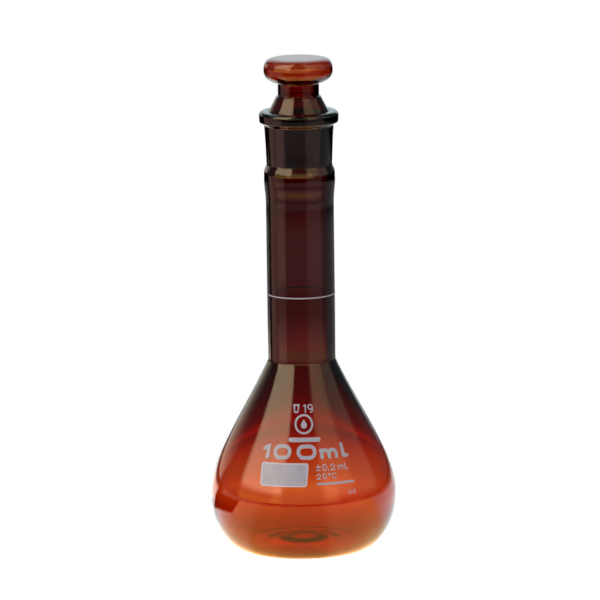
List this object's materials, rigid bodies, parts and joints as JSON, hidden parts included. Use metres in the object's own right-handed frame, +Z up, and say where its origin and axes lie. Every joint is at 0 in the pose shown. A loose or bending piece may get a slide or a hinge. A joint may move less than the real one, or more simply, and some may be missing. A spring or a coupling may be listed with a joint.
{
  "type": "volumetric flask",
  "caption": "Amber glass volumetric flask with a graduation ring, white enamel markings, a ground joint and a hollow glass stopper that lifts out.",
  "frame": {"origin": "centre of the foot, on the plane the flask stands on", "axes": "+Z up the axis of revolution; the printed front faces -Y"},
  "size_m": [0.0584, 0.0584, 0.1559],
  "materials": {
    "amber_glass": "clear fire-polished amber glass",
    "socket_glass": "amber glass, polished outside, finely ground inside the joint",
    "stopper_glass": "amber glass, polished head, finely ground cone",
    "white_enamel": "fired white enamel, satin"
  },
  "bodies": {
    "flask": {"flask_body": "amber_glass", "ground_socket": "socket_glass", "graduation_ring": "white_enamel", "capacity_print": "white_enamel", "writing_panel": "white_enamel", "tolerance_print": "white_enamel", "temperature_print": "white_enamel", "joint_size_print": "white_enamel", "maker_mark": "white_enamel", "maker_bar": "white_enamel", "origin_bar": "white_enamel", "batch_print": "white_enamel"},
    "stopper": {"stopper": "stopper_glass"}
  },
  "joints": [
    {"name": "stopper_lift", "type": "slide", "parent": "flask", "child": "stopper", "axis": [0, 0, 1], "range_m": [0, 0.04]}
  ]
}
